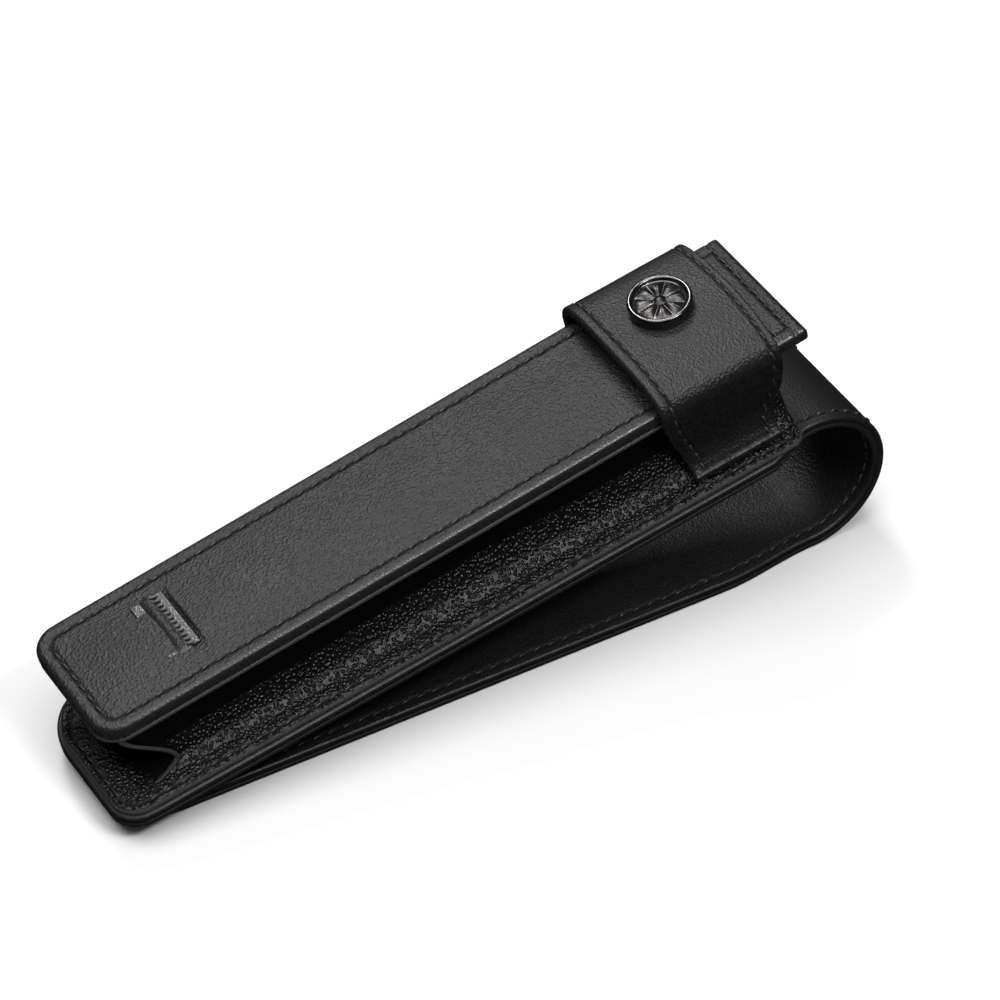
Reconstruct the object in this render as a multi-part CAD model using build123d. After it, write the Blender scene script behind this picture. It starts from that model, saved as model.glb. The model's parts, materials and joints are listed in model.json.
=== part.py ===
from build123d import *
import os
from math import sin, cos, tan, atan2, radians, degrees, pi

# A slim leather case for one pen, lying open. One long strip is both the back of the pouch and the flap:
# past the mouth it curls over in a loop and runs back underneath, so the pouch rests on it like a wedge.
# Millimetres. +X runs from the closed end to the loop, +Z is up, the flap's underside is at z = 0.

# ---------- driving dimensions ----------
LEATHER = 1.25            # outer leather of strip and front panel
LINING = 1.25             # lining of strip and front panel
BOARD = 0.7               # stiffening board, let half and half into leather and lining
BOARD_INSET = 3.4         # board stops this far inside the edge
WEDGE_ANGLE = 10.0        # pouch tilt over the flap, degrees
CLOSED_GAP = 0.6          # air between flap and back panel at the closed end
APEX_TO_LOOP = 147.6      # from where the wedge's two faces would meet to where the loop begins

FRONT_LENGTH = 146.5
FRONT_WIDTH_CLOSED = 29.4
FRONT_WIDTH_MOUTH = 30.4
FRONT_SETBACK = 3.2       # front panel starts this far in from the back panel's closed end
FRONT_CORNER = 5.5
FRONT_TOP_CLOSED = 17.0   # height of the front's upper face over the back's lower face, closed end
FRONT_TOP_MOUTH = 22.0    # the same at the mouth
MOUTH_CORNER_CUT = 0.7
LEAN = 4.6                # the soft gusset leans, so the front panel lies this far to +Y of the strip

BACK_WIDTH = 35.2
BACK_CORNER = 6.0
BACK_CORNER_FAR = 13.0    # the closed end's +Y corner is cut rounder
WAIST_WIDTH = 28.4        # strip narrows here to bend in the loop
WAIST_RUN = 9.0           # length over which the back panel narrows to the waist
FLAP_WIDTH_LOOP = 33.0
FLAP_WIDTH_TIP = 27.6
FLAP_SHOULDER = 20.0      # length over which the flap widens again after the loop
FLAP_TIP_X = 5.0          # tip stops this far from the back panel's closed end
FLAP_CORNER = 7.0

GUSSET = 0.9              # gusset leather
GUSSET_LINING = 0.4
WALL_TOP = 13.3           # outer face of the gusset wall from the front panel's middle
WALL_FOOT = 11.0          # outer face of the wall from the strip's middle, where it turns into its flange
WALL_PINCH = 1.4          # the wall draws in by this much above its foot
FLANGE_EDGE = 0.8         # flange stops this far inside the back panel's edge
END_FOLD_DEPTH = 8.6      # how far the closed end folds inwards
END_FOLD_LIFT = 1.2       # height of that fold's valley over the flange
GUSSET_MOUTH_INSET = 6.6  # gusset stops this far short of the front panel's mouth
GUSSET_SETBACK = 2.6      # and its closed end starts this far in from the front panel's
FLANGE_MOUTH_CORNER = 3.0
POCKET_PAST_FOLD = 2.5    # pocket lining starts this far past the fold
POCKET_INSET = 0.6        # and stops this far inside the gusset's mouth

KEEPER = 0.9              # keeper strap leather
KEEPER_LINING = 0.7
KEEPER_START = 114.3      # strap's edge towards the closed end, from the front panel's closed end
KEEPER_LENGTH = 25.5
KEEPER_FOOT_LENGTH = 18.5
KEEPER_GAP = 2.3          # clear height between front panel and strap at its shoulders
KEEPER_CROWN = 1.1        # strap arches up by this much more in the middle, to let the flap through
KEEPER_FLAT = 8.6         # half of the strap's flat middle
KEEPER_SIDE_GAP = 0.4     # between the front panel's edge and the strap's side
KEEPER_OFF_WALL = 1.3     # strap's inner face stands off the gusset wall
KEEPER_CUT = 1.2          # its shoulders are cut in by this much, from this far below
KEEPER_CUT_DROP = 1.0
KEEPER_STRAIGHT = 1.4     # its sides stay straight to this far below the front panel's flange
KEEPER_FOOT_OUT = 2.6     # each foot reaches out this far past the wall's foot
KEEPER_FOOT_TURN = 0.7    # and turns up at this far past it, within this height
KEEPER_FOOT_RISE = 1.0
SEAT = 0.15               # air between pieces that lie against a curved neighbour

CAP_RADIUS = 6.0
CAP_HEIGHT = 2.2
CAP_RIM = 0.9
CAP_RECESS = 0.7
CAP_ROUND = 0.5
CAP_OFFSET = 2.8          # cap sits this far to +Y of the strap's middle
PETALS = 8
PETAL_LONG = 3.8
PETAL_WIDE = 1.5
PETAL_AT = 2.6            # middle of each petal, from the rosette's middle
PETAL_HIGH = 0.45
BOSS_RADIUS = 1.1
BOSS_HIGH = 0.5
POST_IN_CAP = 1.0         # rivet reaches this far up into the cap
RIVET_GAP = 0.05          # clearance of the strap's hole round the rivet
RIVET_RADIUS = 1.1
WASHER_RADIUS = 3.0
WASHER_THICK = 0.45

THREAD = 0.35             # stitch height over the surface
THREAD_WIDE = 0.45
STITCH_LONG = 2.1
STITCH_PITCH = 3.0
FRONT_STITCH_INSET = 2.9
FLANGE_STITCH_INSET = 0.95
FLAP_STITCH_INSET = 2.2
MOUTH_ROWS = (2.4, 5.4)   # two rows across the mouth, from its edge
ROW_SHORT = 7.0           # long rows stop this far short of the mouth
KEEPER_STITCH_INSET = 2.3
SHOULDER_STITCHES = (0.3, 0.75)   # places of the stitches down each sloping shoulder, as shares of it
SHOULDER_LIFT = 0.08      # keeps those clear of the bend
WELT_AT = 20.2            # welt of the slit, from the front panel's closed end
WELT_OFFSET = 1.0         # its middle lies this far to +Y of the front panel's
WELT_LONG = 15.6
WELT_RADIUS = 1.1
SLIT_WIDE = 0.8
SLIT_DEEP = 0.5
SLIT_OFF_WELT = 1.4       # between the welt and the slit
WHIP_STITCHES = 11
WHIP_OFF_WELT = 0.7       # middle of the whip stitches, from the welt
WHIP_LONG = 1.0
WHIP_SLANT = 12

LOOP_JOINTS = 4           # the loop bends at this many even stations

# ---------- derived frame ----------
STRIP = LEATHER + LINING
TILT = radians(WEDGE_ANGLE)
LOOP_INNER = APEX_TO_LOOP * tan(TILT / 2)
LOOP_TURN = 180 + WEDGE_ANGLE
APEX_X = -CLOSED_GAP / tan(TILT)
BACK_LENGTH = APEX_TO_LOOP - CLOSED_GAP / sin(TILT)
HEIGHT_CLOSED = STRIP + CLOSED_GAP
LOOP_CENTRE_Z = STRIP + LOOP_INNER
END_LEAN = STRIP * sin(TILT)      # the tilted closed end leans out by this much at its top
LENGTH_ALL = END_LEAN + APEX_X + APEX_TO_LOOP + LOOP_INNER + STRIP
X0 = END_LEAN - LENGTH_ALL / 2    # closed end of the back panel's lower face; the whole is centred on x = 0
LOOP_CENTRE_X = X0 + APEX_X + APEX_TO_LOOP

# the strip and the front panel lie to either side of y = 0, so that the whole is centred across as well
KEEPER_INNER = FRONT_WIDTH_MOUTH / 2 + KEEPER_SIDE_GAP
KEEPER_OUTER = KEEPER_INNER + KEEPER_LINING + KEEPER
FRONT_Y = (LEAN + BACK_WIDTH / 2 - KEEPER_OUTER) / 2
STRIP_Y = FRONT_Y - LEAN

# frames: pouch (u along the back panel, v across, w off its lower face) and front (w off its lower face)
pouch = Plane(
    origin=(X0, STRIP_Y, HEIGHT_CLOSED),
    x_dir=(cos(TILT), 0, sin(TILT)),
    z_dir=(-sin(TILT), 0, cos(TILT)),
)
FRONT_RISE = atan2(FRONT_TOP_MOUTH - FRONT_TOP_CLOSED, FRONT_LENGTH)
front = Plane(
    origin=pouch.from_local_coords(Vector(FRONT_SETBACK, LEAN, FRONT_TOP_CLOSED - STRIP)),
    x_dir=(cos(TILT + FRONT_RISE), 0, sin(TILT + FRONT_RISE)),
    z_dir=(-sin(TILT + FRONT_RISE), 0, cos(TILT + FRONT_RISE)),
)
flat = Plane(origin=(X0, STRIP_Y, 0), x_dir=(1, 0, 0), z_dir=(0, 0, 1))


def front_base(u):
    """Height of the front panel's lower face over the back's lower face, at u along the back panel."""
    return FRONT_TOP_CLOSED - STRIP + (u - FRONT_SETBACK) * tan(FRONT_RISE)


CLEAR = 200               # size of the cutting shapes, more than any piece is wide
STANDING = (Align.CENTER, Align.CENTER, Align.MIN)
nodes = {}


def node(name, *solids):
    nodes[name] = list(solids)


def plate(outline, plane, low, high):
    """A flat sheet: outline in the plane, from low to high along its normal."""
    sheet = extrude(Sketch() + outline, amount=high - low)
    return plane.location * (Pos(0, 0, low) * sheet)


def outline_face(points, rounded=()):
    """Polygon through points; rounded lists (corner point, radius)."""
    face = make_face(Polyline(*points, close=True))
    for corner, radius in rounded:
        at = [v for v in face.vertices() if (Vector(v) - Vector(*corner, 0)).length < 0.01]
        face = fillet(at, radius)
    return face


# ---------- outlines of the strip's parts ----------
def back_outline(inset=0.0):
    half, waist = BACK_WIDTH / 2 - inset, WAIST_WIDTH / 2 - inset
    end, turn = BACK_LENGTH, BACK_LENGTH - WAIST_RUN
    points = [(inset, -half), (turn, -half), (end, -waist), (end, waist), (turn, half), (inset, half)]
    corners = [((inset, -half), BACK_CORNER - inset), ((inset, half), BACK_CORNER_FAR - inset)]
    return outline_face(points, corners)


def flap_outline(inset=0.0):
    tip, wide, waist = FLAP_WIDTH_TIP / 2 - inset, FLAP_WIDTH_LOOP / 2 - inset, WAIST_WIDTH / 2 - inset
    start, end = FLAP_TIP_X + inset, LOOP_CENTRE_X - X0
    turn = end - FLAP_SHOULDER
    points = [(start, -tip), (turn, -wide), (end, -waist), (end, waist), (turn, wide), (start, tip)]
    radius = FLAP_CORNER - inset
    return outline_face(points, [((start, -tip), radius), ((start, tip), radius)])


def front_outline(inset=0.0):
    near, far = FRONT_WIDTH_CLOSED / 2 - inset, FRONT_WIDTH_MOUTH / 2 - inset
    end, cut = FRONT_LENGTH - inset, MOUTH_CORNER_CUT
    points = [
        (inset, -near), (end - cut, -far), (end, -far + cut),
        (end, far - cut), (end - cut, far), (inset, near),
    ]
    radius = FRONT_CORNER - inset
    return outline_face(points, [((inset, -near), radius), ((inset, near), radius)])


def board_outline(kind):
    """A board stops short of the waist, so that the loop stays soft."""
    if kind == "back":
        outline, turn = back_outline(BOARD_INSET), BACK_LENGTH - WAIST_RUN
    else:
        outline, turn = flap_outline(BOARD_INSET), LOOP_CENTRE_X - X0 - FLAP_SHOULDER
    return outline - Pos(turn, 0) * Rectangle(CLEAR, CLEAR, align=(Align.MIN, Align.CENTER))


# ---------- the loop ----------
def loop_arc(low, high, angle_from, angle_to):
    """Stretch of the loop between two radii (off the inner face), angles in degrees from the vertical top."""
    r_in, r_out = LOOP_INNER + low, LOOP_INNER + high
    a, b = radians(90 + WEDGE_ANGLE - angle_from), radians(90 + WEDGE_ANGLE - angle_to)
    mid = (a + b) / 2

    def at(r, angle):
        return (LOOP_CENTRE_X + r * cos(angle), LOOP_CENTRE_Z + r * sin(angle))

    edge = [
        ThreePointArc(at(r_in, a), at(r_in, mid), at(r_in, b)),
        Line(at(r_in, b), at(r_out, b)),
        ThreePointArc(at(r_out, b), at(r_out, mid), at(r_out, a)),
        Line(at(r_out, a), at(r_in, a)),
    ]
    side = Plane(origin=(0, STRIP_Y, 0), x_dir=(1, 0, 0), z_dir=(0, -1, 0)) * make_face(edge)
    return extrude(side, amount=WAIST_WIDTH / 2, both=True)


stations = [LOOP_TURN * (k + 0.5) / LOOP_JOINTS for k in range(LOOP_JOINTS)]

# ---------- back panel ----------
board_low = LEATHER - BOARD / 2
board_high = LEATHER + BOARD / 2
back_board = plate(board_outline("back"), pouch, board_low, board_high)
back_leather = plate(back_outline(), pouch, 0, LEATHER) + loop_arc(0, LEATHER, 0, stations[0])
back_lining = plate(back_outline(), pouch, LEATHER, STRIP) + loop_arc(LEATHER, STRIP, 0, stations[0])
node("back_leather", back_leather - back_board)
node("back_board", back_board)
node("back_lining", back_lining - back_board)

# ---------- soft loop, one stretch between each two bending stations ----------
for k in range(1, LOOP_JOINTS):
    node(f"bend_leather_{k}", loop_arc(0, LEATHER, stations[k - 1], stations[k]))
    node(f"bend_lining_{k}", loop_arc(LEATHER, STRIP, stations[k - 1], stations[k]))

# ---------- flap: its lining lies on the table, its leather faces up ----------
flap_board = plate(board_outline("flap"), flat, LINING - BOARD / 2, LINING + BOARD / 2)
flap_lining = plate(flap_outline(), flat, 0, LINING) + loop_arc(LEATHER, STRIP, stations[-1], LOOP_TURN)
flap_leather = plate(flap_outline(), flat, LINING, STRIP) + loop_arc(0, LEATHER, stations[-1], LOOP_TURN)
node("flap_leather", flap_leather - flap_board)
node("flap_board", flap_board)
node("flap_lining", flap_lining - flap_board)

# ---------- front panel, with its slit and mouth ----------
front_board = plate(front_outline(BOARD_INSET), front, LINING - BOARD / 2, LINING + BOARD / 2)
front_leather = plate(front_outline(), front, LINING, STRIP) - front_board
slit = front.location * (
    Pos(WELT_AT + WELT_RADIUS + SLIT_OFF_WELT + SLIT_WIDE / 2, WELT_OFFSET, STRIP)
    * Box(SLIT_WIDE, WELT_LONG, 2 * SLIT_DEEP)
)
node("front_leather", front_leather - slit)
node("front_board", front_board)
node("front_lining", plate(front_outline(), front, 0, LINING) - front_board)


# ---------- gusset: two flared walls, a folded closed end and flanges ----------
# how far the wall draws in, as shares of WALL_PINCH, at shares of its height
PINCH = [(0, 0), (0.1, 0.6), (0.32, 1.0), (0.6, 0.65), (1, 0)]
FLANGE_TOP = STRIP + GUSSET
WALL_LOW = STRIP + GUSSET / 2
END_WALL_SHIFT = 1.4 * GUSSET   # the folded end slants, so it is thicker along the pouch than its leather
GUSSET_START = FRONT_SETBACK + GUSSET_SETBACK
GUSSET_END = FRONT_SETBACK + FRONT_LENGTH - GUSSET_MOUTH_INSET


def wall_high(u):
    return front_base(u) - GUSSET / 2


def wall_line(u, side, inwards):
    """Points (v, w) up one side wall at u, from inside one flange to inside the other, moved inwards."""
    rise = wall_high(u) - WALL_LOW
    points = []
    for share, pinch in PINCH:
        reach = WALL_FOOT + (WALL_TOP - WALL_FOOT) * share - WALL_PINCH * pinch - inwards
        points.append((side * reach + LEAN * share, WALL_LOW + rise * share))
    return points


def closed_face(u, points):
    return make_face(Polyline(*[Vector(u, v, w) for v, w in points], close=True))


def side_wall(side, offset, thick, start, end):
    """One side wall as a sheet, ruled between its cross-sections at start and end."""
    sections = []
    for u in (start, end):
        outer, inner = wall_line(u, side, offset), wall_line(u, side, offset + thick)
        sections.append(closed_face(u, outer + inner[::-1]))
    return pouch.location * loft(sections, ruled=True)


def pocket_space(inwards, end):
    """Everything between the two side walls' faces that lie this far inwards off their outer ones."""
    sections = []
    for u in (GUSSET_START, end):
        sections.append(closed_face(u, wall_line(u, -1, inwards) + wall_line(u, 1, inwards)[::-1]))
    return pouch.location * loft(sections, ruled=True)


fold = (GUSSET_START + END_FOLD_DEPTH, FLANGE_TOP + END_FOLD_LIFT)
end_low = (GUSSET_START, WALL_LOW)
end_high = (GUSSET_START, wall_high(GUSSET_START))


def across(points):
    """Prism over the whole width from a side outline in (u, w)."""
    face = make_face(Polyline(*[Vector(u, 0, w) for u, w in points], close=True))
    return pouch.location * extrude(face, amount=CLEAR, dir=(0, 1, 0), both=True)


def end_notch(shift):
    """The space outside the closed end, a valley that points into the pouch, moved by shift along it."""
    before = GUSSET_START - CLEAR
    valley = [(u + shift, w) for u, w in (end_low, fold, end_high)]
    return across([(before, end_low[1])] + valley + [(before, end_high[1])])


def lower_flange():
    """Flange on the back panel: round both long sides and the closed end."""
    outer_half, inner_half = BACK_WIDTH / 2 - FLANGE_EDGE, WALL_FOOT - GUSSET
    start = FLANGE_EDGE
    outer = outline_face(
        [(start, -outer_half), (GUSSET_END, -outer_half), (GUSSET_END, outer_half), (start, outer_half)],
        [((start, -outer_half), BACK_CORNER - start), ((start, outer_half), BACK_CORNER_FAR - start),
         ((GUSSET_END, -outer_half), FLANGE_MOUTH_CORNER), ((GUSSET_END, outer_half), FLANGE_MOUTH_CORNER)],
    )
    hole = outline_face([
        (GUSSET_START + GUSSET, -inner_half), (GUSSET_END + GUSSET, -inner_half),
        (GUSSET_END + GUSSET, inner_half), (GUSSET_START + GUSSET, inner_half),
    ])
    return plate(outer - hole, pouch, STRIP, STRIP + GUSSET)


def upper_flange():
    """Flange under the front panel, flush with its edge."""
    inner = WALL_TOP - GUSSET
    first = GUSSET_START - FRONT_SETBACK + GUSSET
    hole = outline_face([(first, -inner), (FRONT_LENGTH, -inner), (FRONT_LENGTH, inner), (first, inner)])
    stop = Pos(GUSSET_END - FRONT_SETBACK, 0) * Rectangle(CLEAR, CLEAR, align=(Align.MIN, Align.CENTER))
    return plate(front_outline() - hole - stop, front, -GUSSET, 0)


def gusset_body():
    outside = pocket_space(0, GUSSET_END) - end_notch(0)
    inside = pocket_space(GUSSET, GUSSET_END + GUSSET) - end_notch(END_WALL_SHIFT)
    return outside - inside + lower_flange() + upper_flange()


def gusset_lining():
    start, end = fold[0] + POCKET_PAST_FOLD, GUSSET_END - POCKET_INSET
    return [side_wall(side, GUSSET + SEAT, GUSSET_LINING, start, end) for side in (1, -1)]


node("gusset_leather", gusset_body())
node("gusset_lining", *gusset_lining())


# ---------- keeper strap: a band over the front panel, sewn down at both feet ----------
KEEPER_U = FRONT_SETBACK + KEEPER_START
KEEPER_MID = KEEPER_U + KEEPER_LENGTH / 2
KEEPER_SHOULDER = KEEPER_INNER - KEEPER_CUT
front_low = front_base(KEEPER_MID)
strap_low = front_low + STRIP + KEEPER_GAP
strap_crown = strap_low + KEEPER_CROWN


def strap_side(side):
    """Inner line of the strap in (v, w) on one side, from its foot to the middle of its top."""
    foot = FLANGE_TOP + SEAT
    wall = wall_line(KEEPER_MID, side, -KEEPER_OFF_WALL)
    upright = LEAN + side * KEEPER_INNER
    return [
        (side * (WALL_FOOT + KEEPER_FOOT_OUT), foot),
        (side * (WALL_FOOT + KEEPER_FOOT_TURN), foot + KEEPER_FOOT_RISE), wall[2], wall[3],
        (upright, front_low - GUSSET - KEEPER_STRAIGHT), (upright, strap_low - KEEPER_CUT_DROP),
        (LEAN + side * KEEPER_SHOULDER, strap_low), (LEAN + side * KEEPER_FLAT, strap_crown),
    ]


def strap_line():
    return strap_side(1) + strap_side(-1)[::-1]


def offset_line(points, distance):
    """The same line moved outwards by distance, mitred at each corner."""
    moved = []
    for k, (v, w) in enumerate(points):
        before = Vector(*points[k]) - Vector(*points[k - 1]) if k else None
        after = Vector(*points[k + 1]) - Vector(*points[k]) if k + 1 < len(points) else None
        normals = [Vector(d.Y, -d.X).normalized() for d in (before, after) if d is not None]
        total = sum(normals, Vector(0, 0))
        bisector = total.normalized()
        step = distance / bisector.dot(normals[0])
        moved.append((v + bisector.X * step, w + bisector.Y * step))
    return moved


def strap_band(inner, outer):
    base = strap_line()
    ring = offset_line(base, inner) + list(reversed(offset_line(base, outer)))
    face = make_face(Polyline(*[Vector(0, v, w) for v, w in ring], close=True))
    band = extrude(face, amount=KEEPER_LENGTH, dir=(1, 0, 0))
    return pouch.location * (Pos(KEEPER_U, 0, 0) * band)


TRIM_BEND = (0.8, 0.35)   # where the foot's edge bends: share of its spare width, share of the strap's height
TRIM_TOP = 0.85           # share of its height at which the strap has its full width


def strap_trim():
    """Each foot is shorter than the strap is wide."""
    spare = (KEEPER_LENGTH - KEEPER_FOOT_LENGTH) / 2
    height = strap_low - STRIP
    cuts = []
    for u, toward in ((KEEPER_U, 1), (KEEPER_U + KEEPER_LENGTH, -1)):
        edge = [(spare, 0), (spare * TRIM_BEND[0], height * TRIM_BEND[1]), (0, height * TRIM_TOP)]
        beyond = [(-spare, height * TRIM_TOP), (-spare, 0)]
        corners = [Vector(u + toward * a, 0, STRIP + b) for a, b in edge + beyond]
        face = make_face(Polyline(*corners, close=True))
        cuts.append(pouch.location * extrude(face, amount=CLEAR, dir=(0, 1, 0), both=True))
    return cuts


strap_inner = strap_band(0, KEEPER_LINING)
strap_outer = strap_band(KEEPER_LINING, KEEPER_LINING + KEEPER)
for cut in strap_trim():
    strap_inner -= cut
    strap_outer -= cut

# ---------- medallion, riveted through the strap ----------
cap_floor = strap_crown + KEEPER_LINING + KEEPER
cap_at = (KEEPER_MID, LEAN + CAP_OFFSET)
rivet_hole = pouch.location * (Pos(*cap_at, strap_low) * Cylinder(RIVET_RADIUS + RIVET_GAP, 4 * CAP_HEIGHT))
node("keeper_strap", strap_outer - rivet_hole)
node("keeper_lining", strap_inner - rivet_hole)
cap = Cylinder(CAP_RADIUS, CAP_HEIGHT, align=STANDING)
cap = fillet(cap.edges().group_by(Axis.Z)[-1], CAP_ROUND)
recess = Pos(0, 0, CAP_HEIGHT - CAP_RECESS) * Cylinder(CAP_RADIUS - CAP_RIM, CAP_HEIGHT, align=STANDING)
post_hole = Cylinder(RIVET_RADIUS, POST_IN_CAP, align=STANDING)
node("medallion_cap", pouch.location * (Pos(*cap_at, cap_floor) * (cap - recess - post_hole)))


def rosette():
    """Plain eight-petal rosette that fills the recess."""
    flower = Cylinder(BOSS_RADIUS, BOSS_HIGH, align=STANDING)
    petal = Pos(PETAL_AT, 0, 0) * extrude(Ellipse(PETAL_LONG / 2, PETAL_WIDE / 2), amount=PETAL_HIGH)
    for k in range(PETALS):
        flower += Rot(0, 0, 360 / PETALS * k) * petal
    return Pos(0, 0, CAP_HEIGHT - CAP_RECESS) * flower


node("medallion_rosette", pouch.location * (Pos(*cap_at, cap_floor) * rosette()))
post_low = strap_crown - WASHER_THICK
post = Cylinder(RIVET_RADIUS, cap_floor + POST_IN_CAP - post_low, align=STANDING)
node("rivet_post", pouch.location * (Pos(*cap_at, post_low) * post))
washer = Cylinder(WASHER_RADIUS, WASHER_THICK, align=STANDING) - Cylinder(RIVET_RADIUS, 4 * WASHER_THICK)
node("rivet_washer", pouch.location * (Pos(*cap_at, post_low) * washer))


# ---------- stitching ----------
def stitch(plane, u, v, w, angle=0.0, long=STITCH_LONG):
    """One thread lying on a face at (u, v, w), turned by angle in that face."""
    thread = Box(long, THREAD_WIDE, THREAD, align=STANDING)
    return plane.location * (Pos(u, v, w) * (Rot(0, 0, angle) * thread))


def stitch_row(plane, start, end, w):
    """Threads at an even pitch along a straight line between two (u, v) points."""
    (u0, v0), (u1, v1) = start, end
    length = ((u1 - u0) ** 2 + (v1 - v0) ** 2) ** 0.5
    count = max(1, round(length / STITCH_PITCH))
    angle = degrees(atan2(v1 - v0, u1 - u0))
    return [
        stitch(plane, u0 + (u1 - u0) * (k + 0.5) / count, v0 + (v1 - v0) * (k + 0.5) / count, w, angle)
        for k in range(count)
    ]


def front_stitches():
    closed_half = FRONT_WIDTH_CLOSED / 2 - FRONT_STITCH_INSET
    mouth_half = FRONT_WIDTH_MOUTH / 2 - FRONT_STITCH_INSET
    turn, end = FRONT_CORNER, FRONT_LENGTH - ROW_SHORT
    rows = []
    for side in (1, -1):
        rows += stitch_row(front, (turn, side * closed_half), (end, side * mouth_half), STRIP)
    side_turn = FRONT_WIDTH_CLOSED / 2 - FRONT_CORNER
    rows += stitch_row(front, (FRONT_STITCH_INSET, -side_turn), (FRONT_STITCH_INSET, side_turn), STRIP)
    return rows


def mouth_stitches():
    half = FRONT_WIDTH_MOUTH / 2 - FRONT_STITCH_INSET
    return [
        s for inset in MOUTH_ROWS
        for s in stitch_row(front, (FRONT_LENGTH - inset, -half), (FRONT_LENGTH - inset, half), STRIP)
    ]


def flange_stitches():
    start = FLANGE_EDGE + FLANGE_STITCH_INSET
    half = BACK_WIDTH / 2 - start
    w = FLANGE_TOP
    end = GUSSET_END - FLANGE_MOUTH_CORNER
    rows = stitch_row(pouch, (BACK_CORNER, -half), (end, -half), w)
    rows += stitch_row(pouch, (BACK_CORNER_FAR, half), (end, half), w)
    near, far = BACK_CORNER - BACK_WIDTH / 2, BACK_WIDTH / 2 - BACK_CORNER_FAR
    rows += stitch_row(pouch, (start, near), (start, far), w)
    return rows


def flap_stitches():
    tip_half = FLAP_WIDTH_TIP / 2 - FLAP_STITCH_INSET
    wide_half = FLAP_WIDTH_LOOP / 2 - FLAP_STITCH_INSET
    start = FLAP_TIP_X
    end = LOOP_CENTRE_X - X0 - FLAP_SHOULDER
    rows = []
    for side in (1, -1):
        rows += stitch_row(flat, (start + FLAP_CORNER, side * tip_half), (end, side * wide_half), STRIP)
    side_turn = FLAP_WIDTH_TIP / 2 - FLAP_CORNER
    tip = start + FLAP_STITCH_INSET
    rows += stitch_row(flat, (tip, -side_turn), (tip, side_turn), STRIP)
    return rows


def keeper_stitches():
    """One row along each edge of the strap's top: over its flat middle and down both shoulders."""
    rows = []
    shoulder = Vector(KEEPER_SHOULDER - KEEPER_FLAT, -KEEPER_CROWN)
    dip = degrees(atan2(KEEPER_CROWN, KEEPER_SHOULDER - KEEPER_FLAT))
    for u in (KEEPER_U + KEEPER_STITCH_INSET, KEEPER_U + KEEPER_LENGTH - KEEPER_STITCH_INSET):
        rows += stitch_row(pouch, (u, LEAN - KEEPER_FLAT), (u, LEAN + KEEPER_FLAT), cap_floor)
        for side in (1, -1):
            for share in SHOULDER_STITCHES:
                thread = Box(THREAD_WIDE, STITCH_LONG, THREAD, align=STANDING)
                v = LEAN + side * (KEEPER_FLAT + shoulder.X * share)
                at = Pos(u, v, cap_floor + shoulder.Y * share + SHOULDER_LIFT)
                rows.append(pouch.location * (at * (Rot(-side * dip, 0, 0) * thread)))
    return rows


def slit_stitches():
    """Whip stitches between the welt and the slit."""
    u = WELT_AT + WELT_RADIUS + WHIP_OFF_WELT
    shares = [(k + 0.5) / WHIP_STITCHES - 0.5 for k in range(WHIP_STITCHES)]
    return [stitch(front, u, WELT_OFFSET + WELT_LONG * x, STRIP, WHIP_SLANT, WHIP_LONG) for x in shares]


node("front_stitches", *front_stitches())
node("mouth_stitches", *mouth_stitches())
node("gusset_stitches", *flange_stitches())
node("flap_stitches", *flap_stitches())
node("keeper_stitches", *keeper_stitches())
node("slit_stitches", *slit_stitches())
welt_bar = Rot(90, 0, 0) * Cylinder(WELT_RADIUS, WELT_LONG)
welt_keep = Box(4 * WELT_RADIUS, 2 * WELT_LONG, 2 * WELT_RADIUS, align=STANDING)
node("slit_welt", front.location * (Pos(WELT_AT, WELT_OFFSET, STRIP) * (welt_bar & welt_keep)))

# ---------- write ----------
os.makedirs("parts", exist_ok=True)
for name, solids in nodes.items():
    pieces = [s for item in solids for s in item.solids()]
    shape = pieces[0] if len(pieces) == 1 else Compound(pieces)
    export_step(shape, f"parts/{name}.step")

neutral = LOOP_INNER + STRIP / 2
for k, turn in enumerate(stations, 1):
    angle = radians(90 + WEDGE_ANGLE - turn)
    x, z = LOOP_CENTRE_X + neutral * cos(angle), LOOP_CENTRE_Z + neutral * sin(angle)
    print(f"bend_{k} axis at x {x:.3f} z {z:.3f}")
print(f"closed end x {X0:.3f}, loop centre {LOOP_CENTRE_X:.3f} {LOOP_CENTRE_Z:.3f}, radius {LOOP_INNER:.3f}")
print(f"strip at y {STRIP_Y:.3f}, front at y {FRONT_Y:.3f}, turn per joint {LOOP_TURN / LOOP_JOINTS}")
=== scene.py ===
import json
from math import cos, hypot, pi, radians, sin, sqrt

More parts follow.
